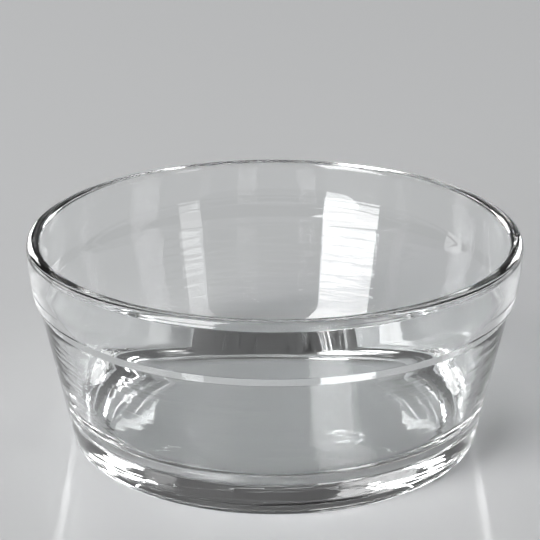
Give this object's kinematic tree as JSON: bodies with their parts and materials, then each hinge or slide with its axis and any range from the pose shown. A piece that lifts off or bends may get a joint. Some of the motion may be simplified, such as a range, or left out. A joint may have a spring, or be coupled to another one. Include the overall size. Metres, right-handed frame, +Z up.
{
  "type": "glass salad bowl",
  "caption": "Pressed clear glass salad bowl with a rounded rim, a bulging upper band that ends in a shoulder, a straight tapered lower wall and a thick base.",
  "frame": {"origin": "centre of the foot ring, on the surface that the bowl stands on", "axes": "+Z up along the bowl's axis, out through the mouth; X and Y are any two directions across it, because the bowl is round"},
  "size_m": [0.17, 0.17, 0.072],
  "materials": {
    "clear_glass": "fire-polished, clear and glossy, colourless, with the slight waviness of pressed glass"
  },
  "bodies": {
    "root": {"bowl": "clear_glass"}
  },
  "joints": []
}
